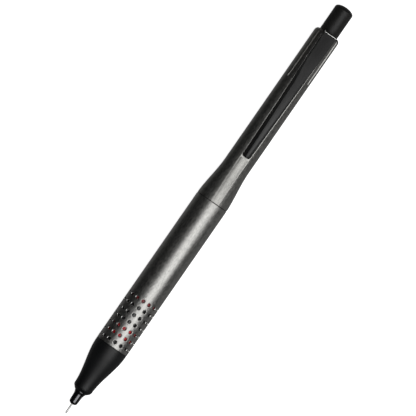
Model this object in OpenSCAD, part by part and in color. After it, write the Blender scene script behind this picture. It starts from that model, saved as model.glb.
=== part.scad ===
// Mechanical pencil: fine lead, sliding guide pipe and a mechanism that turns the lead.
// Every piece is drawn on the pencil's own axis: +Z runs from the tip of the lead to the push
// cap, and the clip is on the +X side. lay_down() then lays it along +X with the clip on top,
// and the origin is the middle of its footprint on the table. Millimetres throughout.

/* [Body] */
// Length from the tip of the lead to the top of the push cap
total_l = 145; // [144.5:0.5:148]
// Outer diameter of the front barrel
front_d = 10.4; // [10.3:0.1:10.8]
// Outer diameter of the rear barrel behind its taper
rear_d = 8.26; // [8.18:0.02:8.4]
// Distance from the tip of the lead to the front end of the front barrel
grip_z = 23.9; // [23.8:0.05:24]
// Distance from the tip of the lead to the seam between the barrels
seam_z = 75.55; // [75.25:0.1:76.15]
// Length of the taper behind the seam
taper_l = 13.6; // [13:0.1:14]
// Distance from the tip of the lead to the rear end of the rear barrel
barrel_end_z = 135.7; // [135.7:0.05:135.9]

/* [Grip holes] */
// Diameter of a grip hole
hole_d = 1.05; // [0.8:0.05:1.2]
// Diameter of the countersink round a grip hole
hole_sink_d = 1.32; // [1.25:0.01:1.5]
// Number of holes in one ring
holes_round = 15; // [10:1:16]
// Number of rings of holes
hole_rings = 7; // [1:1:7]
// Distance from the tip of the lead to the first ring
first_ring_z = 25.5; // [25.4:0.1:26]
// Distance from ring to ring
ring_pitch = 2.43; // [2.2:0.01:2.45]
// Angle of the first column of holes from the clip
hole_phase = -9; // [-12:1:12]

/* [Tip] */
// Diameter of the lead
lead_d = 0.38; // [0.36:0.01:0.39]
// Outer diameter of the guide pipe
pipe_d = 0.54; // [0.5:0.01:0.56]
// Distance from the tip of the lead to the front of the nose
nose_z = 3.2; // [3.1:0.1:3.3]
// Distance from the tip of the lead to the front of the cone
cone_z = 7.6; // [7.6:0.01:7.7]

/* [Clip] */
// Distance from the tip of the lead to the free end of the clip
clip_tip_z = 91.8; // [91:0.1:93]
// Distance from the tip of the lead to the root end of the clip
clip_root_z = 135.95; // [135.9:0.05:136.1]
// Width of the clip at its root
clip_root_w = 4.2; // [4.1:0.1:4.7]
// Width of the clip near its free end
clip_tip_w = 2.6; // [2.5:0.05:2.8]
// Height of the top of the clip above the pencil's axis
clip_top_x = 5.6; // [5.4:0.1:5.8]

/* [Push cap] */
// Outer diameter of the push cap
cap_d = 5.96; // [5.8:0.02:6]
// Height of the cap's domed end
cap_dome_h = 1.3; // [1:0.1:1.4]

/* [Turning mechanism] */
// Number of saw teeth on each cam ring
teeth = 20; // [16:1:24]
// Height of a saw tooth
tooth_h = 0.3; // [0.2:0.05:0.4]
// Play between meshed teeth
tooth_play = 0.05; // [0.04:0.01:0.06]
// Travel of the rotor between the two cams
cushion_stroke = 0.25; // [0.24:0.01:0.26]

/* [Hidden] */

$fn = 96;
eps = 0.02;
far = 20;

front_r = front_d / 2;
rear_r = rear_d / 2;
axis_h = front_r;
cap_r = cap_d / 2;
lead_r = lead_d / 2;
pipe_r = pipe_d / 2;

// Clearances: between sliding pieces, and between pieces that are fitted into each other
slip = 0.05;
fit = 0.02;

// Front barrel, and the dark groove where the two barrels meet
wall = 0.7;
bore_r = front_r - wall;
edge_break = 0.06;
groove_depth = 0.18;
groove_z = seam_z - 0.08;
rear_start_z = seam_z + 0.1;
taper_lead = 0.6;

// Joint that holds the two barrels together
joint_r = 3.92;
joint_bore_r = 3.2;
joint_front_z = seam_z - 9.7;
joint_rear_z = seam_z + 8.1;
thread_depth = 0.25;
thread_pitch = 1.2;
thread_turns = 6;

// Cone: bevelled lip in front, spigot at the rear, and the rooms inside it
cone_lip_r = 2.02;
cone_bevel_r = 2.86;
cone_bevel_z = cone_z + 0.9;
cone_front_r = 3.02;
cone_flank_z = cone_z + 1.35;
cone_back_z = grip_z - 0.04;
cone_flush_l = 0.6;
cone_mouth_r = 1.55;
flange_room_r = 1.9;
flange_room_z = cone_z + 0.6;
nose_room_r = 2.15;
nose_room_z = 9.9;
throat_z = 17.5;
cam_room_r = 2.9;
cam_room_z = 19;
cam_seat_r = 3.75;
cam_seat_z = grip_z - 1.3;
spigot_r = bore_r - 0.08;
spigot_end_z = grip_z + 2.6;

// Nose: domed front, waist, foot inside the cone's mouth, and the rooms inside it
nose_bore_r = pipe_r + 0.04;
nose_front_r = 1.33;
nose_dome_l = 0.95;
nose_waist_r = 1.42;
nose_waist_z = nose_z + 2.7;
nose_foot_r = 1.82;
nose_foot_z = cone_z - 0.15;
nose_lip_r = 1.84;
nose_lip_z = cone_z + 0.25;
nose_neck_r = 1.45;
nose_body_r = 2;
nose_body_z = 10.3;
nose_end_z = 15;
chamber_r = 0.8;
chamber_z = nose_z + 1.3;
retainer_r = 1;
retainer_z = 10.4;
retainer_l = 2;
socket_z = 12.6;

// Lead, guide pipe and its collar
lead_l = 60;
pipe_front_z = 0.2;
pipe_end_z = 7.2;
collar_l = 1.5;

// Chuck sleeve, chuck and clutch
sleeve_r = 1.8;
sleeve_bore_r = 1.45;
sleeve_front_r = 1.15;
sleeve_end_z = 34.2;
clutch_stop_z = 16.5;
clutch_r = 1.4;
clutch_z = 17.3;
clutch_l = 1.4;
spring_seat_z = 19.6;
spring_seat_t = 0.6;
chuck_z = 17.1;
chuck_head_l = 1.9;
chuck_head_r = 0.95;
chuck_bevel = 0.25;
chuck_shank_r = 0.8;
chuck_slit_w = 0.16;
chuck_slit_z = 25.6;
chuck_end_z = 30;

// Lead store
connector_z = 27.9;
connector_r = 1.38;
connector_bore_r = 0.45;
funnel_r = 1.3;
tank_z = 45;
tank_end_z = 131.2;
tank_r = 2;
tank_bore_r = 1.62;
tank_plug_l = 3.5;
guide_z = seam_z + 8.4;
guide_l = 2;
spare_z = 62;
spare_l = 60;

// Turning mechanism, from the tip towards the cap
cam_in_r = 2.6;
cam_out_r = 3.7;
hub_r = 2.3;
rotor_r = 4.35;
rotor_z = spigot_end_z + 0.55;
rotor_l = 3.9;
rotor_top_z = rotor_z + rotor_l;
lower_face_z = rotor_z - tooth_h - tooth_play;
upper_face_z = rotor_top_z + tooth_h + cushion_stroke + tooth_play;
upper_cam_l = 1.6;
housing_r = bore_r - 0.2;
housing_z = upper_face_z + upper_cam_l;
engine_cap_z = 39;
engine_cap_l = 1.9;
washer_z = sleeve_end_z + slip;
washer_l = 0.75;
washer_r = 3.35;
key_w = 1;
key_r = 3.85;

// Rear end of the rear barrel, and the shallow step round the root of the clip
rear_bore_r = rear_r - 0.64;
joint_room_r = joint_r + 0.03;
joint_room_z = joint_rear_z + 0.2;
mouth_r = cap_r + 0.1;
mouth_l = 0.75;
shoulder_l = 1.25;
bush_z = 122;
recess_half_angle = 54;
recess_depth = 0.25;
recess_z = 118;
recess_runout_l = 3;

// Clip, the channel it lies in and the tongue that holds it
clip_under_x = rear_r - 0.07;
clip_edge_x = rear_r + 0.2;
clip_round_l = 0.9;
clip_tip_drop = 0.3;
clip_flare_z = 118;
clip_flare_l = 8;
clip_face_tip_w = 0.88;
clip_face_flare_w = 2.2;
clip_face_root_w = 3.56;
clip_crest_z = 112;
clip_arch_l = 24;
clip_arch_h = 0.35;
root_bevel_h = 0.45;
root_bevel_l = 0.5;
slot_floor_x = rear_r - 0.34;
slot_gap = 0.12;
tongue_z = 130;
tongue_l = 4;
tongue_w = 2.3;
stop_w = 1.6;
stop_z = clip_tip_z + 1.2;
stop_l = 2.2;

// Push cap, eraser and its holder
cap_wall = 0.45;
skirt_z = 130.6;
holder_z = tank_end_z + 0.3;
holder_front_z = 124;
cup_l = 6;
cup_floor_l = 2.35;
eraser_r = 2.2;
eraser_end_z = 141.8;
eraser_round = 0.4;

// ---------- helpers ----------

function lerp(a, b, t) = a + (b - a) * t;
function clamp01(t) = min(max(t, 0), 1);
function smooth(t) = let (u = clamp01(t)) u * u * (3 - 2 * u);

// Points of a quarter ellipse in (radius, z), from its front point out to its widest point
function round_out(r, z, dr, dz, n = 8) =
    [for (i = [0 : n]) [r + dr * sin(90 * i / n), z + dz * (1 - cos(90 * i / n))]];

// Points of a quarter ellipse in (radius, z), from its widest point in to its rear point
function round_in(r, z, dr, dz, n = 8) =
    [for (i = [0 : n]) [r + dr * cos(90 * i / n), z + dz * sin(90 * i / n)]];

// Points of a smooth S-shaped flank in (radius, z)
function flank(r0, r1, z0, z1, n = 12) =
    [for (i = [0 : n]) [lerp(r0, r1, smooth(i / n)), lerp(z0, z1, i / n)]];

// Radius of the rear barrel's outside along its taper
function taper_r(z) = lerp(front_r, rear_r, smooth((z - seam_z + taper_lead) / taper_l));

module lay_down()
    translate([-total_l / 2, 0, axis_h]) rotate([0, 90, 0]) rotate([0, 0, 180]) children();

module revolve(outline)
    rotate_extrude() polygon(outline);

module rod(r, z0, z1)
    translate([0, 0, z0]) cylinder(r = r, h = z1 - z0);

module tube(r_out, r_in, z0, z1)
    difference() {
        rod(r_out, z0, z1);
        rod(r_in, z0 - eps, z1 + eps);
    }

// A block across the axis, from radius x0 out to x1, of width w and between z0 and z1
module key_block(x0, x1, w, z0, z1)
    translate([x0, -w / 2, z0]) cube([x1 - x0, w, z1 - z0]);

// One pie slice as wide as a tooth, between two radii and two heights
module tooth_slice(z0, z1) {
    half = 180 / teeth;
    intersection() {
        tube(cam_out_r, cam_in_r, z0, z1);
        translate([0, 0, z0]) linear_extrude(z1 - z0)
            polygon([[0, 0], [far, -far * tan(half)], [far, far * tan(half)]]);
    }
}

// Ring of saw teeth whose ramps climb round the axis. The ramps lie between z and z + tooth_h;
// side 1 keeps what is above them and side -1 what is below, down into the ring that bears them.
module saw_ring(z, side) {
    mean_r = (cam_in_r + cam_out_r) / 2;
    ramp = atan(tooth_h / (2 * mean_r * tan(180 / teeth)));
    root = 0.1;
    low = z - root;
    high = z + tooth_h + root;
    for (k = [0 : teeth - 1])
        rotate([0, 0, 360 * (k + 0.5) / teeth])
            intersection() {
                tooth_slice(low, high);
                translate([0, 0, z + tooth_h / 2]) rotate([ramp, 0, 0])
                    translate([0, -far / 2, side > 0 ? 0 : -far]) cube(far);
            }
}

// Coil spring swept as one solid. One turn at each end lies closed, and the turns between are open.
module coil(mean_r, wire_r, z0, z1, turns, steps = 14, sides = 6) {
    n = turns * steps;
    closed = 1 / turns;
    open_from = 0.75 * closed;
    open_rise = z1 - z0 - 6 * wire_r;
    function rise(t) =
        z0 + wire_r + 2 * wire_r * (clamp01(t / closed) + clamp01((t - 1) / closed + 1))
        + open_rise * clamp01((t - open_from) / (1 - 2 * open_from));
    points = [for (i = [0 : n]) for (j = [0 : sides - 1])
        let (a = 360 * turns * i / n, b = 360 * j / sides, r = mean_r + wire_r * cos(b))
        [r * cos(a), r * sin(a), rise(i / n) + wire_r * sin(b)]];
    walls = [for (i = [0 : n - 1]) for (j = [0 : sides - 1])
        let (k = (j + 1) % sides, p = i * sides + j, q = i * sides + k)
        each [[p, q, q + sides], [p, q + sides, p + sides]]];
    front = [[for (j = [sides - 1 : -1 : 0]) j]];
    back = [[for (j = [0 : sides - 1]) n * sides + j]];
    polyhedron(points, concat(walls, front, back));
}

// ---------- tip ----------

module front_cone() {
    back_r = front_r - fit;
    outline = concat(
        [[cone_lip_r, cone_z], [cone_bevel_r, cone_bevel_z]],
        flank(cone_front_r, back_r, cone_flank_z, cone_back_z - cone_flush_l, 20),
        [[back_r, cone_back_z], [spigot_r, cone_back_z], [spigot_r, spigot_end_z],
         [cam_seat_r, spigot_end_z], [cam_seat_r, cam_seat_z], [cam_room_r, cam_seat_z],
         [cam_room_r, cam_room_z], [nose_room_r, throat_z], [nose_room_r, nose_room_z],
         [cone_mouth_r, nose_room_z], [cone_mouth_r, flange_room_z],
         [flange_room_r, flange_room_z], [flange_room_r, cone_z]]);
    color("#17181a") lay_down() revolve(outline);
}

module nose_tip() {
    socket_r = sleeve_r + fit;
    outline = concat(
        round_out(nose_bore_r, nose_z, nose_front_r - nose_bore_r, nose_dome_l),
        [[nose_waist_r, nose_waist_z]],
        flank(nose_waist_r, nose_foot_r, nose_waist_z + slip, nose_foot_z, 6),
        [[nose_lip_r, nose_lip_z], [nose_neck_r, nose_lip_z], [nose_neck_r, nose_body_z],
         [nose_body_r, nose_body_z], [nose_body_r, nose_end_z], [socket_r, nose_end_z],
         [socket_r, socket_z], [retainer_r, socket_z], [retainer_r, retainer_z],
         [chamber_r, retainer_z], [chamber_r, chamber_z], [nose_bore_r, chamber_z]]);
    color("#0f1012") lay_down() revolve(outline);
}

module guide_pipe()
    color("#b9bbbd") lay_down() tube(pipe_r, lead_r + fit, pipe_front_z, pipe_end_z);

module pipe_collar() {
    front_z = chamber_z + 0.2;
    color("#c8a54a") lay_down() tube(chamber_r - 0.08, pipe_r, front_z, front_z + collar_l);
}

module lead()
    color("#3c3d40") lay_down() rod(lead_r, 0, lead_l);

module lead_retainer() {
    front_z = retainer_z + slip;
    color("#7d7f82") lay_down() tube(retainer_r - fit, lead_r + 0.03, front_z, retainer_z + retainer_l);
}

// ---------- barrels ----------

module grip_hole() {
    sink_depth = 0.12;
    rotate([0, 90, 0]) {
        translate([0, 0, bore_r - 1]) cylinder(d = hole_d, h = wall + 2, $fn = 40);
        translate([0, 0, front_r - sink_depth])
            cylinder(d1 = hole_d, d2 = hole_sink_d + 0.1, h = sink_depth + 0.03, $fn = 40);
    }
}

module front_barrel() {
    rear_z = groove_z - edge_break;
    color("#7c7b77") lay_down() difference() {
        revolve([[bore_r, grip_z], [front_r - edge_break, grip_z], [front_r, grip_z + edge_break],
                 [front_r, rear_z], [front_r - edge_break, groove_z], [bore_r, groove_z]]);
        for (ring = [0 : hole_rings - 1])
            for (k = [0 : holes_round - 1])
                translate([0, 0, first_ring_z + ring * ring_pitch])
                    rotate([0, 0, hole_phase + 360 * k / holes_round]) grip_hole();
    }
}

module seam_ring()
    color("#1a1a1b") lay_down() tube(front_r - groove_depth, joint_r + 0.06, groove_z, rear_start_z);

module barrel_joint() {
    crest_r = bore_r - slip;
    root_r = crest_r - thread_depth;
    first_z = joint_front_z + thread_pitch;
    land = thread_pitch / 4;
    outline = concat(
        [[joint_bore_r, joint_front_z], [crest_r, joint_front_z]],
        [for (i = [0 : thread_turns - 1]) let (z = first_z + i * thread_pitch)
            each [[crest_r, z], [root_r, z + land], [crest_r, z + 2 * land]]],
        [[crest_r, seam_z - 0.1], [joint_r, seam_z - 0.1], [joint_r, joint_rear_z],
         [joint_bore_r, joint_rear_z]]);
    color("#c8a54a") lay_down() revolve(outline);
}

// Channel that the clip lies in: a flat floor with straight sides that close in towards the tip
module clip_channel() {
    half_root = clip_root_w / 2 + slot_gap;
    half_tip = clip_tip_w / 2 + slot_gap;
    front_z = clip_tip_z - 0.5;
    back_z = clip_root_z + 1;
    tongue_half_l = tongue_l / 2 + 0.2;
    translate([slot_floor_x, 0, 0]) rotate([0, 90, 0])
        linear_extrude(3)
            polygon([[-front_z, half_tip], [-front_z, -half_tip],
                     [-back_z, -half_root], [-back_z, half_root]]);
    key_block(rear_bore_r - 0.6, rear_r, tongue_w + 0.3, tongue_z - tongue_half_l, tongue_z + tongue_half_l);
}

// Shallow step round the root of the clip, which runs out towards the tip
module root_recess() {
    low_r = rear_r - recess_depth;
    low_mouth_r = mouth_r - recess_depth;
    clear_r = rear_r + 1;
    clear_z = barrel_end_z + 1;
    rotate([0, 0, -recess_half_angle])
        rotate_extrude(angle = 2 * recess_half_angle)
            polygon(concat(
                [[clear_r, recess_z], [rear_r, recess_z], [low_r, recess_z + recess_runout_l]],
                round_in(low_mouth_r, barrel_end_z - shoulder_l - 0.1, low_r - low_mouth_r, shoulder_l),
                [[low_mouth_r, clear_z], [clear_r, clear_z]]));
}

module rear_barrel() {
    taper_end_z = seam_z + taper_l - taper_lead;
    end_z = barrel_end_z - mouth_l;
    outline = concat(
        [[joint_room_r, rear_start_z], [taper_r(rear_start_z) - edge_break, rear_start_z]],
        [for (i = [0 : 20]) let (z = lerp(rear_start_z + edge_break, taper_end_z, i / 20)) [taper_r(z), z]],
        round_in(mouth_r, barrel_end_z - shoulder_l, rear_r - mouth_r, shoulder_l),
        [[mouth_r, end_z], [rear_bore_r, end_z], [rear_bore_r, joint_room_z], [joint_room_r, joint_room_z]]);
    color("#7a7975") lay_down() difference() {
        revolve(outline);
        clip_channel();
        root_recess();
    }
}

// ---------- clip ----------

// Half-width of the clip's foot, and of its flat top face, at height z
function clip_foot(z) =
    lerp(clip_tip_w, clip_root_w, clamp01((z - clip_tip_z) / (clip_root_z - clip_tip_z))) / 2;
function clip_face(z) =
    (lerp(clip_face_tip_w, clip_face_flare_w, (z - clip_tip_z) / (clip_flare_z - clip_tip_z))
    + (clip_face_root_w - clip_face_flare_w) * smooth((z - clip_flare_z) / clip_flare_l)) / 2;

// Share of its width that the clip has at height z, which rounds its free end
function tip_round(z) =
    let (t = clamp01((z - clip_tip_z) / clip_round_l)) 0.55 + 0.45 * sqrt(1 - pow(1 - t, 2));

// How far the top face lies below its full height at z: a low arch, a bevel at the root and a round tip
function clip_drop(z) =
    clip_arch_h * pow((z - clip_crest_z) / clip_arch_l, 2)
    + root_bevel_h * clamp01((z - clip_root_z) / root_bevel_l + 1)
    + clip_tip_drop * (1 - clamp01((z - clip_tip_z) / clip_round_l));

function clip_section(z) =
    let (k = tip_round(z), foot = clip_foot(z) * k, face = clip_face(z) * k, top = clip_top_x - clip_drop(z))
    [[clip_under_x, -foot, z], [clip_under_x, foot, z], [clip_edge_x, foot, z],
     [top, face, z], [top, -face, z], [clip_edge_x, -foot, z]];

module clip() {
    tip_z = [for (i = [0 : 5]) clip_tip_z + clip_round_l * pow(i / 5, 2)];
    arm_z = [for (i = [1 : 8]) lerp(clip_tip_z + clip_round_l, clip_flare_z, i / 8)];
    flare_z = [for (i = [1 : 8]) clip_flare_z + clip_flare_l * i / 8];
    root_z = [clip_root_z - 7, clip_root_z - 3.5, clip_root_z - root_bevel_l, clip_root_z];
    stations = concat(tip_z, arm_z, flare_z, root_z);
    n = len(stations);
    points = [for (z = stations) each clip_section(z)];
    walls = [for (i = [0 : n - 2]) for (j = [0 : 5])
        let (k = (j + 1) % 6, p = i * 6 + j, q = i * 6 + k)
        each [[p, q, q + 6], [p, q + 6, p + 6]]];
    ends = [[for (j = [5 : -1 : 0]) j], [for (j = [0 : 5]) (n - 1) * 6 + j]];
    into = clip_under_x + eps;
    color("#1c1d1f") lay_down() union() {
        polyhedron(points, concat(walls, ends));
        key_block(rear_bore_r + slip, into, tongue_w, tongue_z - tongue_l / 2, tongue_z + tongue_l / 2);
        key_block(slot_floor_x + 0.1, into, stop_w, stop_z, stop_z + stop_l);
    }
}

// ---------- push cap and eraser ----------

module cap_bush()
    color("#2a2b2d") lay_down() tube(rear_bore_r - fit, mouth_r - fit, bush_z, barrel_end_z - mouth_l - slip);

module push_cap() {
    dome_z = total_l - cap_dome_h;
    inner_r = cap_r - cap_wall;
    outline = concat(
        [[inner_r, skirt_z], [cap_r, skirt_z]],
        round_in(0, dome_z, cap_r, cap_dome_h, 14),
        [[0, dome_z - 0.2], [inner_r, dome_z - 0.2]]);
    color("#1b1c1d") lay_down() revolve(outline);
}

module eraser() {
    front_z = holder_z + cup_floor_l + slip;
    outline = concat([[0, front_z], [eraser_r, front_z]],
        round_in(eraser_r - eraser_round, eraser_end_z - eraser_round, eraser_round, eraser_round),
        [[0, eraser_end_z]]);
    color("#f2f1ec") lay_down() revolve(outline);
}

module eraser_holder() {
    cup_r = cap_r - cap_wall - slip;
    cup_bore_r = eraser_r + fit;
    plug_r = tank_bore_r - 0.04;
    outline = [[0, holder_front_z], [plug_r, holder_front_z], [plug_r, holder_z], [cup_r, holder_z],
               [cup_r, holder_z + cup_l], [cup_bore_r, holder_z + cup_l],
               [cup_bore_r, holder_z + cup_floor_l], [0, holder_z + cup_floor_l]];
    color("#3a3b3d") lay_down() revolve(outline);
}

// ---------- lead store ----------

module lead_tank()
    color("#d8dadc") lay_down() tube(tank_r, tank_bore_r, tank_z, tank_end_z);

module tank_guide()
    color("#2a2b2d") lay_down() tube(rear_bore_r - fit, tank_r + 0.1, guide_z, guide_z + guide_l);

module tank_connector() {
    socket_r = chuck_shank_r + fit;
    plug_r = tank_bore_r - fit;
    flange_z = tank_z - 0.4;
    plug_end_z = tank_z + tank_plug_l;
    outline = [[socket_r, connector_z], [connector_r, connector_z], [connector_r, flange_z],
               [tank_r, flange_z], [tank_r, tank_z - slip], [plug_r, tank_z - slip],
               [plug_r, plug_end_z], [funnel_r, plug_end_z], [connector_bore_r, plug_end_z - 1.5],
               [connector_bore_r, chuck_end_z + 0.1], [socket_r, chuck_end_z + 0.1]];
    color("#d0b060") lay_down() revolve(outline);
}

module spare_leads()
    color("#3c3d40") lay_down() for (k = [0 : 2])
        rotate([0, 0, 30 + 120 * k]) translate([0.9, 0, 0]) rod(lead_r, spare_z, spare_z + spare_l);

// ---------- chuck ----------

module chuck() {
    bore = lead_r + 0.03;
    head_end_z = chuck_z + chuck_head_l;
    outline = [[bore, chuck_z], [chuck_head_r - chuck_bevel, chuck_z],
               [chuck_head_r, chuck_z + 2 * chuck_bevel], [chuck_head_r, head_end_z],
               [chuck_shank_r, head_end_z + 0.2], [chuck_shank_r, chuck_end_z], [bore, chuck_end_z]];
    color("#c8a54a") lay_down() difference() {
        revolve(outline);
        for (k = [0 : 2])
            rotate([0, 0, 120 * k]) key_block(0, 2, chuck_slit_w, chuck_z - 1, chuck_slit_z);
    }
}

module clutch_ring()
    color("#d9b65a") lay_down() tube(clutch_r, chuck_head_r + slip, clutch_z, clutch_z + clutch_l);

module chuck_sleeve() {
    seat_end_z = spring_seat_z + spring_seat_t;
    seat_r = chuck_shank_r + 0.1;
    front_z = socket_z + fit;
    outline = [[sleeve_front_r, front_z], [sleeve_r, front_z], [sleeve_r, sleeve_end_z],
               [sleeve_bore_r, sleeve_end_z], [sleeve_bore_r, seat_end_z], [seat_r, seat_end_z],
               [seat_r, spring_seat_z], [sleeve_bore_r, spring_seat_z],
               [sleeve_bore_r, clutch_stop_z], [sleeve_front_r, clutch_stop_z]];
    color("#8b8d90") lay_down() revolve(outline);
}

module chuck_spring() {
    front_z = spring_seat_z + spring_seat_t + eps;
    color("#c9cbcd") lay_down() coil(1.12, 0.12, front_z, connector_z - eps, 9);
}

// ---------- turning mechanism ----------

module rotor()
    color("#c0202a") lay_down() union() {
        saw_ring(rotor_z - tooth_h, 1);
        rotate([0, 0, -180 / teeth]) {
            tube(rotor_r, sleeve_r + fit, rotor_z, rotor_top_z);
            tube(hub_r, sleeve_r + fit, rotor_top_z - 1, sleeve_end_z);
            saw_ring(rotor_top_z, -1);
        }
    }

module lower_cam()
    color("#141416") lay_down() union() {
        tube(cam_seat_r - fit, 2.2, cam_seat_z, lower_face_z);
        saw_ring(lower_face_z, -1);
    }

module upper_cam()
    color("#141416") lay_down() union() {
        tube(housing_r, hub_r + 0.15, upper_face_z, housing_z);
        saw_ring(upper_face_z - tooth_h, 1);
    }

module engine_housing() {
    slot_r = key_r + 0.1;
    color("#141416") lay_down() difference() {
        tube(housing_r, washer_r + 0.1, housing_z, engine_cap_z);
        for (side = [0, 180])
            rotate([0, 0, side]) key_block(2, slot_r, key_w + 0.2, housing_z - 1, engine_cap_z + 1);
    }
}

module engine_cap()
    color("#7a1216") lay_down() tube(bore_r - 0.1, 1.6, engine_cap_z, engine_cap_z + engine_cap_l);

module cushion_spring()
    color("#c9cbcd") lay_down() coil(2.55, 0.2, washer_z + washer_l + eps, engine_cap_z - eps, 4, 20);

module torque_washer()
    color("#9fa1a4") lay_down() union() {
        tube(washer_r, 1.55, washer_z, washer_z + washer_l);
        for (side = [0, 180])
            rotate([0, 0, side]) key_block(3, key_r, key_w, washer_z, washer_z + washer_l);
    }

front_cone();
nose_tip();
guide_pipe();
pipe_collar();
lead();
lead_retainer();
front_barrel();
rear_barrel();
seam_ring();
barrel_joint();
clip();
cap_bush();
push_cap();
eraser();
eraser_holder();
lead_tank();
tank_guide();
tank_connector();
spare_leads();
chuck();
clutch_ring();
chuck_sleeve();
chuck_spring();
rotor();
lower_cam();
upper_cam();
engine_housing();
engine_cap();
cushion_spring();
torque_washer();
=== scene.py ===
"""Mechanical pencil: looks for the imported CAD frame. Metres; the pencil lies along +X with its clip up."""

import math

import bmesh
import bpy
from mathutils import Matrix, Vector

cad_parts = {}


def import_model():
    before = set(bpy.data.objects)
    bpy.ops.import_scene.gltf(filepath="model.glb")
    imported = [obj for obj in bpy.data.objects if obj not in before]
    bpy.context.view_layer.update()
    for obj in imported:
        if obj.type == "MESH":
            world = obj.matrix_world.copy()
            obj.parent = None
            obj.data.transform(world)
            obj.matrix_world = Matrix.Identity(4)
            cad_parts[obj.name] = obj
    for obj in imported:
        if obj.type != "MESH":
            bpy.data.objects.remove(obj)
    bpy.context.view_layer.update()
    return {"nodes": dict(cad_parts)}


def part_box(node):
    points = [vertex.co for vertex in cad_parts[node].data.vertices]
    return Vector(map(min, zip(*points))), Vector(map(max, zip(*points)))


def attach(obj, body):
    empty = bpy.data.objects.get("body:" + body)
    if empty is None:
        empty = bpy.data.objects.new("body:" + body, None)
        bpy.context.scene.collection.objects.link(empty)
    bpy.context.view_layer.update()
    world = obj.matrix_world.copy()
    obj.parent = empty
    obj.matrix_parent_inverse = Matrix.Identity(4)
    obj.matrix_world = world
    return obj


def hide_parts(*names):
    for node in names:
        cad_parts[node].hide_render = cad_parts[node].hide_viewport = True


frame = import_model()

MM = 0.001


# ---------- where things are, from the frame ----------

def node_x(node):
    """Lowest and highest x of a CAD node."""
    lo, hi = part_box(node)
    return lo.x, hi.x


def node_radius(node):
    """Largest radius of a CAD node that is round about the pencil's axis."""
    lo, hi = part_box(node)
    return (hi.y - lo.y) / 2


PIPE_LO, PIPE_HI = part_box("guide_pipe")
AXIS_Z = (PIPE_LO.z + PIPE_HI.z) / 2
TIP_X = node_x("lead")[0]
CAP_X = node_x("push_cap")[1]
FRONT_R = node_radius("front_barrel")
REAR_R = 4.13 * MM
CLIP_X = node_x("clip")
CLIP_BEVEL_L = 0.5 * MM
CLIP_SHELF_R = REAR_R + 0.2 * MM


def along(mm):
    """x of a place that is so many millimetres behind the lead's tip."""
    return TIP_X + mm * MM


# ---------- mesh helpers ----------

def on_ring(x, r, angle):
    """The point at radius r and an angle from straight up, turning towards -Y."""
    return Vector((x, -r * math.sin(angle), AXIS_Z + r * math.cos(angle)))


def smooth(t):
    t = min(max(t, 0.0), 1.0)
    return t * t * (3 - 2 * t)


def lerp(a, b, t):
    return a + (b - a) * t


def new_object(name, bm, sharp_deg=50):
    """Turns a bmesh into an object with smooth shading that bevels don't smear."""
    bmesh.ops.remove_doubles(bm, verts=bm.verts, dist=0.5e-6)
    bmesh.ops.dissolve_degenerate(bm, edges=bm.edges, dist=0.2e-6)
    bmesh.ops.recalc_face_normals(bm, faces=bm.faces)
    mesh = bpy.data.meshes.new(name)
    bm.to_mesh(mesh)
    bm.free()
    mesh.shade_smooth()
    mesh.set_sharp_from_angle(angle=math.radians(sharp_deg))
    obj = bpy.data.objects.new(name, mesh)
    bpy.context.scene.collection.objects.link(obj)
    weighted = obj.modifiers.new("even_normals", "WEIGHTED_NORMAL")
    weighted.keep_sharp = True
    return obj


def skin(bm, rings, closed=True):
    """Joins rings of points, all with the same count, into a skin. closed joins the last to the first."""
    rows = [[bm.verts.new(p) for p in ring] for ring in rings]
    count = len(rows[0])
    following = rows[1:] + rows[:1] if closed else rows[1:]
    for a, b in zip(rows, following):
        for i in range(count):
            j = (i + 1) % count
            bm.faces.new((a[i], a[j], b[j], b[i]))
    return rows


def rounded(outline, radius, steps=3, least_turn_deg=20):
    """Rounds the corners of a closed outline of (x, r) points that turn by more than least_turn_deg."""
    out = []
    count = len(outline)
    for i, corner in enumerate(outline):
        before = Vector(outline[i - 1]) - Vector(corner)
        after = Vector(outline[(i + 1) % count]) - Vector(corner)
        turn = math.degrees(math.pi - before.angle(after))
        on_axis = corner[1] < 1e-7
        if turn < least_turn_deg or on_axis:
            out.append(tuple(corner))
            continue
        cut = min(radius, before.length * 0.4, after.length * 0.4)
        start = Vector(corner) + before.normalized() * cut
        end = Vector(corner) + after.normalized() * cut
        for k in range(steps + 1):
            t = k / steps
            out.append(tuple((1 - t) ** 2 * start + 2 * t * (1 - t) * Vector(corner) + t * t * end))
    return out


def lathe(name, outline, edge=0.06 * MM, segments=144):
    """A turned piece from a closed outline of (x, r) points, with its corners rounded."""
    bm = bmesh.new()
    points = rounded(outline, edge)
    turns = [2 * math.pi * k / segments for k in range(segments)]
    skin(bm, [[on_ring(x, max(r, 0.0), a) for a in turns] for x, r in points])
    return new_object(name, bm)


def arc_out(x, r, dx, dr, steps=10):
    """Outline points of a quarter ellipse from its front point out to its widest point."""
    turns = [math.pi / 2 * k / steps for k in range(steps + 1)]
    return [(x + dx * (1 - math.cos(t)), r + dr * math.sin(t)) for t in turns]


def arc_in(x, r, dx, dr, steps=10):
    """Outline points of a quarter ellipse from its widest point in to its rear point."""
    turns = [math.pi / 2 * k / steps for k in range(steps + 1)]
    return [(x + dx * math.sin(t), r + dr * math.cos(t)) for t in turns]


def flank(x0, x1, r0, r1, steps=24):
    """Outline points of a smooth S-shaped flank."""
    return [(lerp(x0, x1, k / steps), lerp(r0, r1, smooth(k / steps))) for k in range(steps + 1)]


# ---------- material helpers ----------

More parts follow.
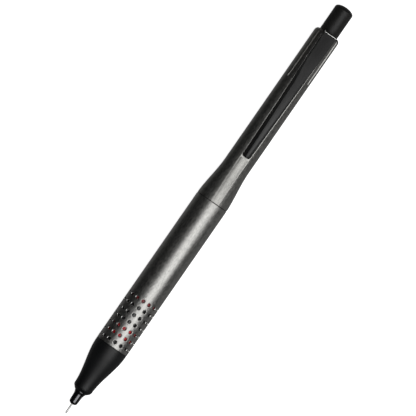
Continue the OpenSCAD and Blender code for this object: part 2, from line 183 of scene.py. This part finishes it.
class Look:
    """A principled material whose colour, roughness and bump come from object-space patterns."""

    def __init__(self, name, color, roughness, metallic=0.0, **constants):
        self.mat = bpy.data.materials.new(name)
        self.mat.use_nodes = True
        self.tree = self.mat.node_tree
        self.shader = self.tree.nodes["Principled BSDF"]
        self.color = color
        self.roughness = roughness
        self.set("Base Color", (*color, 1))
        self.set("Roughness", roughness)
        self.set("Metallic", metallic)
        for socket, value in constants.items():
            self.set(socket.replace("_", " "), value)
        self.place = self.node("ShaderNodeTexCoord").outputs["Object"]
        self.height = None

    def node(self, kind, **settings):
        made = self.tree.nodes.new(kind)
        for key, value in settings.items():
            setattr(made, key, value)
        return made

    def link(self, source, target):
        self.tree.links.new(source, target)

    def set(self, socket, value):
        self.shader.inputs[socket].default_value = value

    def noise(self, size_mm, stretch=(1, 1, 1), detail=2.0, seed=0.0):
        """Noise whose grains are about size_mm across, times stretch along each axis."""
        mapping = self.node("ShaderNodeMapping")
        mapping.inputs["Scale"].default_value = [1 / (size_mm * MM * s) for s in stretch]
        mapping.inputs["Location"].default_value = (seed, seed * 1.7, seed * 0.6)
        self.link(self.place, mapping.inputs["Vector"])
        made = self.node("ShaderNodeTexNoise")
        made.inputs["Scale"].default_value = 1
        made.inputs["Detail"].default_value = detail
        self.link(mapping.outputs["Vector"], made.inputs["Vector"])
        return made.outputs["Fac"]

    def spread(self, value, low, high, from_low=0.3, from_high=0.7):
        """Maps a pattern onto a range of values."""
        made = self.node("ShaderNodeMapRange")
        sockets = ("From Min", "From Max", "To Min", "To Max")
        for socket, number in zip(sockets, (from_low, from_high, low, high)):
            made.inputs[socket].default_value = number
        self.link(value, made.inputs["Value"])
        return made.outputs["Result"]

    def math(self, operation, a, b):
        made = self.node("ShaderNodeMath", operation=operation)
        for socket, value in zip(made.inputs, (a, b)):
            if isinstance(value, (int, float)):
                socket.default_value = value
            else:
                self.link(value, socket)
        return made.outputs["Value"]

    def tint(self, value, dark, light):
        """Colours the surface between two multiples of its base colour, by a pattern."""
        mix = self.node("ShaderNodeMix", data_type="RGBA")
        mix.inputs["A"].default_value = (*[c * dark for c in self.color], 1)
        mix.inputs["B"].default_value = (*[min(c * light, 1) for c in self.color], 1)
        self.link(value, mix.inputs["Factor"])
        self.link(mix.outputs["Result"], self.shader.inputs["Base Color"])

    def rough(self, value):
        self.link(value, self.shader.inputs["Roughness"])

    def bump(self, value, depth_mm, strength=1.0):
        made = self.node("ShaderNodeBump")
        made.inputs["Strength"].default_value = strength
        made.inputs["Distance"].default_value = depth_mm * MM
        self.link(value, made.inputs["Height"])
        self.link(made.outputs["Normal"], self.shader.inputs["Normal"])

    def give(self, *objects):
        for obj in objects:
            obj.data.materials.clear()
            obj.data.materials.append(self.mat)

    def give_some(self, obj, chosen):
        """Gives this look to the faces of an object whose centre is chosen, and leaves the rest."""
        obj.data.materials.append(self.mat)
        for face in obj.data.polygons:
            if chosen(face.center):
                face.material_index = len(obj.data.materials) - 1


def blasted_metal(name, color, roughness):
    """Blasted and anodised aluminium: a fine grain, longer flecks along x and slight handling marks."""
    look = Look(name, color, roughness, metallic=1.0)
    grain = look.noise(0.16, detail=3, seed=3)
    flecks = look.noise(0.42, stretch=(2.2, 1, 1), detail=2, seed=8)
    marks = look.noise(7, stretch=(2.5, 1, 1), detail=3, seed=15)
    both = look.math("ADD", look.math("MULTIPLY", grain, 0.4), look.math("MULTIPLY", flecks, 0.6))
    look.tint(look.spread(both, 0, 1, 0.38, 0.62), 0.76, 1.26)
    worn = look.math("ADD", look.spread(marks, -0.035, 0.035), look.spread(both, -0.05, 0.05, 0.38, 0.62))
    look.rough(look.math("ADD", worn, roughness))
    look.bump(both, 0.014, 0.6)
    return look


def satin_paint(name, color, roughness, rubbing=0.045, duller=None, **constants):
    """Satin black lacquer: a very fine orange peel, with faint dust and rubbing.
    duller is (x0, x1, roughness that is added by x1)."""
    look = Look(name, color, roughness, **constants)
    peel = look.noise(0.35, detail=2, seed=2)
    rubbed = look.noise(5, stretch=(2, 1, 1), detail=4, seed=11)
    look.tint(look.spread(rubbed, 0, 1), 0.8, 1.35)
    worn = look.math("ADD", look.spread(rubbed, -rubbing, rubbing), look.spread(peel, -0.02, 0.02))
    if duller:
        x0, x1, extra = duller
        split = look.node("ShaderNodeSeparateXYZ")
        look.link(look.place, split.inputs["Vector"])
        worn = look.math("ADD", worn, look.spread(split.outputs["X"], 0, extra, x0, x1))
    look.rough(look.math("ADD", worn, roughness))
    look.bump(peel, 0.002, 0.35)
    return look


def moulded_plastic(name, color, roughness, depth_mm=0.003, light=1.15, **constants):
    """Moulded plastic or rubber: a fine spark-eroded texture and slightly uneven colour."""
    look = Look(name, color, roughness, **constants)
    texture = look.noise(0.12, detail=2, seed=6)
    cloud = look.noise(3, detail=2, seed=21)
    look.tint(look.spread(cloud, 0, 1), 0.9, light)
    look.rough(look.math("ADD", look.spread(texture, -0.03, 0.03), roughness))
    look.bump(texture, depth_mm, 0.4)
    return look


def turned_metal(name, color, roughness):
    """Bright turned metal: fine rings round the axis."""
    look = Look(name, color, roughness, metallic=1.0)
    rings = look.noise(0.06, stretch=(1, 60, 60), detail=2, seed=4)
    stain = look.noise(1.5, detail=3, seed=9)
    look.tint(look.spread(stain, 0, 1), 0.85, 1.1)
    look.rough(look.math("ADD", look.spread(rings, -0.06, 0.06), roughness))
    look.bump(rings, 0.002, 0.5)
    return look


# ---------- pieces ----------

HOLE_COLUMNS, HOLE_RINGS = 15, 7
HOLE_PITCH = 2.43 * MM
FIRST_RING_X = along(25.5)
SINK_DEPTH = 0.12 * MM


def in_sink(centre):
    """True for a face centre in a countersink of the front barrel: just below the outer surface."""
    shallowest, slack = 0.008 * MM, 0.01 * MM
    depth = FRONT_R - math.hypot(centre.y, centre.z - AXIS_Z)
    half_length = HOLE_PITCH * HOLE_RINGS / 2
    middle_x = FIRST_RING_X + HOLE_PITCH * (HOLE_RINGS - 1) / 2
    return shallowest < depth < SINK_DEPTH + slack and abs(centre.x - middle_x) < half_length


def on_root_bevel(centre):
    """True for a face centre on the rounded root end of the clip, above its straight sides."""
    return centre.x > CLIP_X[1] - CLIP_BEVEL_L and centre.z - AXIS_Z > CLIP_SHELF_R + 0.1 * MM


def barrel_front():
    """The front barrel: a tube with rings of drilled holes, each with a rounded countersink."""
    x0, x1 = node_x("front_barrel")
    wall, edge = 0.7 * MM, 0.06 * MM
    r_out, r_in = FRONT_R, FRONT_R - wall
    columns, rings, per_side = HOLE_COLUMNS, HOLE_RINGS, 8
    phase = math.radians(-9)
    pitch, first_x = HOLE_PITCH, FIRST_RING_X
    hole_r, sink_r = 0.525 * MM, 0.64 * MM
    flat_share, edge_bulge = 0.6, 0.3
    cell = 2 * math.pi / columns
    half_u, half_v = pitch / 2, cell * r_out / 2
    bm = bmesh.new()

    def square():
        """Border of a cell, as (along the axis, round the barrel), in metres on the outer surface."""
        sides = [k / per_side * 2 - 1 for k in range(per_side)]
        border = [(s * half_u, -half_v) for s in sides] + [(half_u, s * half_v) for s in sides]
        border += [(-s * half_u, half_v) for s in sides] + [(-half_u, -s * half_v) for s in sides]
        return border

    def border_point(x, angle, u, v, r):
        return on_ring(x + u, r, angle + v / r_out)

    def hole_point(x, angle, radius, turn, r):
        """A point where a cylinder of that radius, drilled in to the axis, meets radius r."""
        side = radius * math.sin(turn)
        return on_ring(x + radius * math.cos(turn), r, angle + math.asin(side / r))

    def between(a, b, t, r):
        """A point between a border point and a hole point, kept at radius r."""
        p = a.lerp(b, t)
        offset = Vector((0, p.y, p.z - AXIS_Z)).normalized() * r
        return Vector((p.x, offset.y, offset.z + AXIS_Z))

    border = square()
    turns = [math.atan2(v / half_v, u / half_u) for u, v in border]
    sink = [(sink_r, 0), (sink_r - 0.03 * MM, 0.012 * MM), (sink_r - 0.08 * MM, 0.05 * MM)]
    sink += [(hole_r, SINK_DEPTH)]
    for i in range(rings):
        for k in range(columns):
            x, angle = first_x + i * pitch, phase + k * cell
            outer = [border_point(x, angle, u, v, r_out) for u, v in border]
            rim = [hole_point(x, angle, sink_r, t, r_out) for t in turns]
            inner = [border_point(x, angle, u, v, r_in) for u, v in border]
            mouth = [hole_point(x, angle, hole_r, t, r_in) for t in turns]
            rows = [outer, [between(a, b, flat_share, r_out) for a, b in zip(outer, rim)]]
            for radius, depth in sink:
                rows.append([hole_point(x, angle, radius, t, r_out - depth) for t in turns])
            rows += [mouth, inner]
            skin(bm, rows, closed=False)
    around = [phase - cell / 2 + cell / per_side * j for j in range(columns * per_side)]
    grid_x0, grid_x1 = first_x - half_u, first_x + (rings - 0.5) * pitch
    ends = ((x0, grid_x0, 1), (x1, grid_x1, -1))
    for x_end, x_grid, side in ends:
        profile = [(x_grid, r_out), (x_end + side * edge, r_out),
                   (x_end + side * edge_bulge * edge, r_out - edge_bulge * edge),
                   (x_end, r_out - edge), (x_end, r_in), (x_grid, r_in)]
        skin(bm, [[on_ring(x, r, a) for a in around] for x, r in profile], closed=False)
    return new_object("barrel_front", bm)


REAR_BARREL_X = node_x("rear_barrel")[0]
TAPER_END_X = along(89.5)


def rear_radius(x):
    """Outer radius of the rear barrel along its taper and straight stretch."""
    taper_x, taper_l = REAR_BARREL_X - 0.7 * MM, 13.6 * MM
    return lerp(FRONT_R, REAR_R, smooth((x - taper_x) / taper_l))


def clip_foot(x):
    """Half-width of the clip's foot, which fills its channel."""
    x0, x1 = CLIP_X
    return lerp(1.3 * MM, 2.1 * MM, (x - x0) / (x1 - x0))


def barrel_rear():
    """The rear barrel, with a channel for the clip, a shallow step round its root and a rounded end.
    Its lip is sharper on the picture's left of the clip than on the right."""
    x0, x1 = node_x("rear_barrel")
    channel_x0 = CLIP_X[0] - 0.5 * MM
    channel_gap = 0.12 * MM
    recess_x0, recess_x1 = along(118), along(121)
    recess_depth = 0.25 * MM
    recess_angle = math.radians(54)
    floor_z = 3.79 * MM
    shoulder_l, mouth_l, joint_l = 1.25 * MM, 0.75 * MM, 8.2 * MM
    mouth_r, bore_r, joint_r = 3.08 * MM, 3.49 * MM, 3.95 * MM
    edge, left_lip, right_lip = 0.05 * MM, 0.04 * MM, 0.14 * MM
    floor_steps, lip_steps, recess_steps, round_steps = 6, 4, 10, 40

    def surface(x):
        if x <= x1 - shoulder_l:
            return rear_radius(x)
        t = min((x - x1 + shoulder_l) / shoulder_l, 1)
        return mouth_r + (REAR_R - mouth_r) * math.sqrt(max(1 - t * t, 0))

    def recess(x):
        return recess_depth * min(max((x - recess_x0) / (recess_x1 - recess_x0), 0), 1)

    def section(x, cut, lip):
        """Half of the ring at x, from the top of the clip's channel round to the bottom, as (side, up).
        cut says whether the channel is cut here, and lip is the radius of its rounded edge."""
        r = surface(x)
        low = max(r - recess(x), mouth_r)
        half = clip_foot(x) + channel_gap
        floor = min(floor_z, low) if cut else low
        points = []
        for k in range(floor_steps + 1):
            side = half * k / floor_steps
            height = math.sqrt(low * low - side * side)
            points.append((side, min(floor, height) if cut else height))
        floor_edge = points[-1][1]
        wall_top = math.sqrt(low * low - half * half) - lip
        lip_top = math.sqrt(low * low - (half + lip) ** 2)
        for k in range(lip_steps + 1):
            t = k / lip_steps * math.pi / 2
            side = half + lip * (1 - math.cos(t))
            points.append((side, max(lerp(wall_top, lip_top, math.sin(t)), floor_edge)))
        start = math.asin((half + lip) / low)
        fine = lip / low
        outer = recess_angle + 2 * fine
        arcs = [(low, lerp(start, recess_angle - fine, k / recess_steps)) for k in range(1, recess_steps + 1)]
        arcs += [(lerp(low, r, 0.8), recess_angle), (r, outer)]
        arcs += [(r, lerp(outer, math.pi, k / round_steps)) for k in range(1, round_steps + 1)]
        return points + [(radius * math.sin(a), radius * math.cos(a)) for radius, a in arcs]

    def ring(x, left_half, right_half):
        left = [Vector((x, s, AXIS_Z + u)) for s, u in left_half]
        right = [Vector((x, -s, AXIS_Z + u)) for s, u in right_half[-2:0:-1]]
        return left + right

    def outside(x, cut):
        return ring(x, section(x, cut, left_lip), section(x, cut, right_lip))

    def plain(x, r):
        """A round ring with the same spread of points as the outside."""
        turned = []
        for lip in (left_lip, right_lip):
            half_ring = section(min(x, x1 - shoulder_l), False, lip)
            turned.append([(r * s / math.hypot(s, u), r * u / math.hypot(s, u)) for s, u in half_ring])
        return ring(x, *turned)

    def steps(a, b, count):
        return [lerp(a, b, (k + 1) / count) for k in range(count)]

    shoulder_steps = 12
    turns = [math.pi / 2 * k / shoulder_steps for k in range(1, shoulder_steps + 1)]
    shoulder = [x1 - shoulder_l * (1 - math.sin(t)) for t in turns]
    rings = [plain(x0, joint_r), plain(x0, rear_radius(x0) - edge)]
    rings += [outside(x, False) for x in [x0 + edge] + steps(x0 + edge, TAPER_END_X, 24)]
    rings += [outside(channel_x0, False), outside(channel_x0, True)]
    stations = steps(channel_x0, recess_x0, 6) + steps(recess_x0, recess_x1, 8)
    stations += steps(recess_x1, x1 - shoulder_l, 3)
    rings += [outside(x, True) for x in stations + shoulder]
    inside = [(x1, mouth_r), (x1 - mouth_l, mouth_r), (x1 - mouth_l, bore_r),
              (x0 + joint_l, bore_r), (x0 + joint_l, joint_r)]
    rings += [plain(x, r) for x, r in inside]
    bm = bmesh.new()
    skin(bm, rings)
    return new_object("barrel_rear", bm, sharp_deg=32)


def clip_blade():
    """The clip: a long, slightly arched blade whose crowned face narrows towards its free end."""
    x0, x1 = CLIP_X
    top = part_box("clip")[1].z - AXIS_Z
    under, shelf = REAR_R - 0.07 * MM, CLIP_SHELF_R
    flare_x, flare_l = along(118), 8 * MM
    crest_x, arch_l, arch_h = along(112), 24 * MM, 0.35 * MM
    tip_l, tip_h, tip_share = 0.9 * MM, 0.3 * MM, 0.55
    root_h, crown = 0.45 * MM, 0.07 * MM

    def half_face(x):
        straight = lerp(0.44 * MM, 1.1 * MM, (x - x0) / (flare_x - x0))
        return straight + 0.5 * MM * smooth((x - flare_x) / flare_l)

    def section(x):
        """The closed ring of the clip at x, from its underside over its crowned face."""
        t = min(max((x - x0) / tip_l, 0), 1)
        share = lerp(tip_share, 1, math.sqrt(1 - (1 - t) ** 2))
        foot, face = clip_foot(x) * share, half_face(x) * share
        turn = max((x - x1) / CLIP_BEVEL_L + 1, 0)
        arch_drop = arch_h * ((x - crest_x) / arch_l) ** 2
        root_drop = root_h * (1 - math.sqrt(max(1 - turn * turn, 0)))
        z = top - arch_drop - tip_h * (1 - t) - root_drop
        half = [(foot, under), (foot, shelf), (lerp(foot, face, 0.5), lerp(shelf, z - crown, 0.5))]
        half += [(face * side, z - crown * side * side) for side in (1, 0.8, 0.6, 0.4, 0.2)]
        left = [Vector((x, s, AXIS_Z + u)) for s, u in half]
        right = [Vector((x, -s, AXIS_Z + u)) for s, u in half[::-1]]
        return left + right

    tip = [x0 + tip_l * (k / 8) ** 2 for k in range(9)]
    arm = [lerp(x0 + tip_l, flare_x, k / 8) for k in range(1, 9)]
    flare = [flare_x + flare_l * k / 12 for k in range(1, 13)]
    root = [x1 - 7 * MM, x1 - 3.5 * MM]
    root += [x1 - CLIP_BEVEL_L * math.cos(math.pi / 2 * k / 6) for k in range(7)]
    bm = bmesh.new()
    rows = skin(bm, [section(x) for x in tip + arm + flare + root], closed=False)
    bm.faces.new(rows[0][::-1])
    bm.faces.new(rows[-1])
    blade = new_object("clip_blade", bm, sharp_deg=60)
    bevel = blade.modifiers.new("worn_edges", "BEVEL")
    bevel.width = 0.07 * MM
    bevel.segments = 3
    bevel.limit_method = "ANGLE"
    bevel.angle_limit = math.radians(22)
    bevel.harden_normals = False
    blade.modifiers.move(1, 0)
    return blade


def cone():
    """The front cone, turned with a bevelled lip and an S-shaped flank."""
    x0 = node_x("front_cone")[0]
    back_x, back_r = node_x("front_barrel")[0] - 0.04 * MM, FRONT_R - 0.02 * MM
    flush_l = 0.6 * MM
    outline = [(x0, 2.02 * MM), (x0 + 0.9 * MM, 2.86 * MM)]
    outline += flank(x0 + 1.35 * MM, back_x - flush_l, 3.02 * MM, back_r, 32)
    outline += [(back_x, back_r)]
    spigot = [(23.86, 4.42), (26.5, 4.42), (26.5, 3.75), (22.6, 3.75)]
    rooms = [(22.6, 2.9), (19, 2.9), (17.5, 2.15), (9.9, 2.15), (9.9, 1.55), (8.2, 1.55), (8.2, 1.9)]
    outline += [(along(mm), r * MM) for mm, r in spigot + rooms]
    outline += [(x0, 1.9 * MM)]
    return lathe("cone_shell", outline)


def nose():
    """The nose: a rounded end, a slim neck, a flare and a collar, with the pipe's bore through it."""
    x0 = node_x("nose_tip")[0]
    waist_x, flare_l = x0 + 2.75 * MM, 1.5 * MM
    waist_r, flare_r = 1.42 * MM, 0.4 * MM
    outline = arc_out(x0, 0.31 * MM, 0.95 * MM, 1.02 * MM, 12)
    outline += [(waist_x + flare_l * t, waist_r + flare_r * t * t) for t in [k / 14 for k in range(15)]]
    neck = [(7.85, 1.84), (7.85, 1.45), (10.3, 1.45), (10.3, 2), (15, 2)]
    rooms = [(15, 1.82), (12.6, 1.82), (12.6, 1), (10.4, 1), (10.4, 0.8), (4.5, 0.8), (4.5, 0.31)]
    outline += [(along(mm), r * MM) for mm, r in neck + rooms]
    return lathe("nose_shell", outline, edge=0.05 * MM)


def cap():
    """The push cap: a cup with a low domed end."""
    x0, x1 = node_x("push_cap")
    r = node_radius("push_cap")
    dome, wall, ceiling = 1.3 * MM, 0.45 * MM, 0.2 * MM
    inner_x, inner_r = x1 - dome - ceiling, r - wall
    outline = [(x0, inner_r), (x0, r)] + arc_in(x1 - dome, 0, dome, r, 28)
    outline += [(inner_x, 0), (inner_x, inner_r)]
    return lathe("cap_shell", outline)


# ---------- build ----------

front = barrel_front()
rear = barrel_rear()
blade = clip_blade()
cone_shell = cone()
nose_shell = nose()
cap_shell = cap()

REPLACED = [
    (front, "barrel", "front_barrel", "front_metal"),
    (rear, "barrel", "rear_barrel", "rear_metal"),
    (blade, "clip", "clip", "clip_black"),
    (cone_shell, "barrel", "front_cone", "black_cone"),
    (nose_shell, "rotor", "nose_tip", "black_nose"),
    (cap_shell, "cap", "push_cap", "cap_black"),
]
for piece, body, node, slot in REPLACED:
    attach(piece, body)
    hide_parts(node)

# ---------- materials ----------

nodes = frame["nodes"]
blasted_metal("gunmetal_front", (0.33, 0.327, 0.315), 0.42).give(front)
blasted_metal("gunmetal_rear", (0.31, 0.307, 0.293), 0.44).give(rear)
satin_paint("cone_lacquer", (0.003, 0.0034, 0.0038), 0.48, Specular_IOR_Level=0.35).give(cone_shell)
satin_paint("cap_lacquer", (0.01, 0.01, 0.0096), 0.46, Specular_IOR_Level=0.3).give(cap_shell)
clip_lacquer = satin_paint("clip_lacquer", (0.008, 0.008, 0.008), 0.36, rubbing=0.08,
                           duller=(along(100), along(130), 0.26), Specular_IOR_Level=0.35)
clip_lacquer.give(blade)
polished = turned_metal("polished_edge", (0.72, 0.72, 0.7), 0.2)
polished.give_some(front, in_sink)
polished.give_some(blade, on_root_bevel)
satin_paint("nose_plating", (0.1, 0.101, 0.105), 0.2, metallic=1.0).give(nose_shell)
STEEL = ("guide_pipe", "chuck_sleeve", "chuck_spring", "cushion_spring", "torque_washer")
BRASS = ("pipe_collar", "barrel_joint", "tank_connector", "chuck", "clutch_ring")
turned_metal("turned_steel", (0.55, 0.55, 0.54), 0.3).give(*[nodes[n] for n in STEEL])
turned_metal("turned_brass", (0.66, 0.47, 0.19), 0.32).give(*[nodes[n] for n in BRASS])
moulded_plastic("graphite", (0.045, 0.045, 0.048), 0.42).give(nodes["lead"], nodes["spare_leads"])
moulded_plastic("retainer_rubber", (0.2, 0.2, 0.21), 0.75).give(nodes["lead_retainer"])
moulded_plastic("seam_rubber", (0.008, 0.008, 0.008), 0.6).give(nodes["seam_ring"])
moulded_plastic("inner_plastic", (0.016, 0.016, 0.017), 0.45).give(nodes["cap_bush"], nodes["tank_guide"])
moulded_plastic("holder_plastic", (0.036, 0.037, 0.04), 0.5).give(nodes["eraser_holder"])
moulded_plastic("eraser_rubber", (0.83, 0.82, 0.78), 0.8, depth_mm=0.02).give(nodes["eraser"])
moulded_plastic("tank_plastic", (0.62, 0.65, 0.67), 0.25, Transmission_Weight=0.7).give(nodes["lead_tank"])
moulded_plastic("rotor_plastic", (0.5, 0.014, 0.02), 0.3, depth_mm=0.001).give(nodes["rotor"])
moulded_plastic("engine_cap_plastic", (0.2, 0.008, 0.012), 0.35, depth_mm=0.001).give(nodes["engine_cap"])
engine = moulded_plastic("engine_plastic", (0.006, 0.006, 0.007), 0.16, depth_mm=0.0005)
engine.give(*[nodes[n] for n in ("lower_cam", "upper_cam", "engine_housing")])

# ---------- stage, light and camera ----------

CENTRE = Vector(((TIP_X + CAP_X) / 2, 0, AXIS_Z))
LENGTH = CAP_X - TIP_X
VIEW_TILT = math.radians(10)
ROLL = math.radians(34.7)
CROSS = Vector((0, -math.cos(VIEW_TILT), math.sin(VIEW_TILT)))
BACK = Vector((0, math.sin(VIEW_TILT), math.cos(VIEW_TILT)))
ALONG = Vector((1, 0, 0))


def look_matrix(position, back, up):
    """Matrix of a camera or light at position that looks against back with up upwards."""
    right = up.cross(back).normalized()
    up = back.cross(right).normalized()
    matrix = Matrix((right, up, back.normalized())).transposed().to_4x4()
    matrix.translation = position
    return matrix


def floor():
    """A large pale sweep that the pencil lies on."""
    bm = bmesh.new()
    bmesh.ops.create_grid(bm, x_segments=2, y_segments=2, size=3.0)
    obj = new_object("floor", bm)
    look = Look("floor_paper", (0.5, 0.5, 0.5), 0.9)
    look.set("Emission Color", (1, 1, 1, 1))
    look.set("Emission Strength", 0.97)
    look.give(obj)
    obj.visible_glossy = False
    obj.visible_shadow = False
    return obj


def area_light(name, angle_deg, distance, width, length, power, shift=0.0):
    """A softbox at an angle from the camera about the pencil's axis, towards the picture's right.
    width is across the pencil and length along it, and shift moves the box towards the cap."""
    a = math.radians(angle_deg)
    back = (BACK * math.cos(a) + CROSS * math.sin(a)).normalized()
    data = bpy.data.lights.new(name, "AREA")
    data.shape = "RECTANGLE"
    data.size = width
    data.size_y = length
    data.energy = power
    obj = bpy.data.objects.new(name, data)
    bpy.context.scene.collection.objects.link(obj)
    obj.matrix_world = look_matrix(CENTRE + back * distance + ALONG * shift, back, ALONG)
    return obj


def world():
    """Dim studio: dark above, paler below, as the white sweep would light it."""
    made = bpy.data.worlds.new("studio")
    made.use_nodes = True
    tree = made.node_tree
    background = tree.nodes["Background"]
    coords = tree.nodes.new("ShaderNodeTexCoord")
    split = tree.nodes.new("ShaderNodeSeparateXYZ")
    ramp = tree.nodes.new("ShaderNodeMapRange")
    background.inputs["Color"].default_value = (1, 1, 1, 1)
    ramp.inputs["From Min"].default_value = -0.3
    ramp.inputs["From Max"].default_value = -0.85
    ramp.inputs["To Min"].default_value = 0.015
    ramp.inputs["To Max"].default_value = 0.25
    tree.links.new(coords.outputs["Generated"], split.inputs["Vector"])
    tree.links.new(split.outputs["Z"], ramp.inputs["Value"])
    tree.links.new(ramp.outputs["Result"], background.inputs["Strength"])
    bpy.context.scene.world = made


def camera():
    """A long lens that sees the pencil from above its clip, with the cap towards the upper right."""
    data = bpy.data.cameras.new("camera")
    data.lens = 500
    data.sensor_width = 36
    frame_width = LENGTH * 0.8441
    distance = frame_width * data.lens / data.sensor_width
    right = CROSS * math.cos(ROLL) + ALONG * math.sin(ROLL)
    up = ALONG * math.cos(ROLL) - CROSS * math.sin(ROLL)
    aim = CENTRE + right * 0.58 * MM + up * 0.67 * MM
    obj = bpy.data.objects.new("camera", data)
    bpy.context.scene.collection.objects.link(obj)
    obj.matrix_world = look_matrix(aim + BACK * distance, BACK, up)
    data.clip_start = 0.01
    data.clip_end = 10
    bpy.context.scene.camera = obj


floor()
world()
area_light("key_box", 24.5, 0.4, 0.36, 0.5, 1.57, shift=-0.06)
area_light("right_fill", 112, 0.5, 0.3, 0.6, 0.13)
camera()
bpy.context.scene.view_settings.view_transform = "Standard"
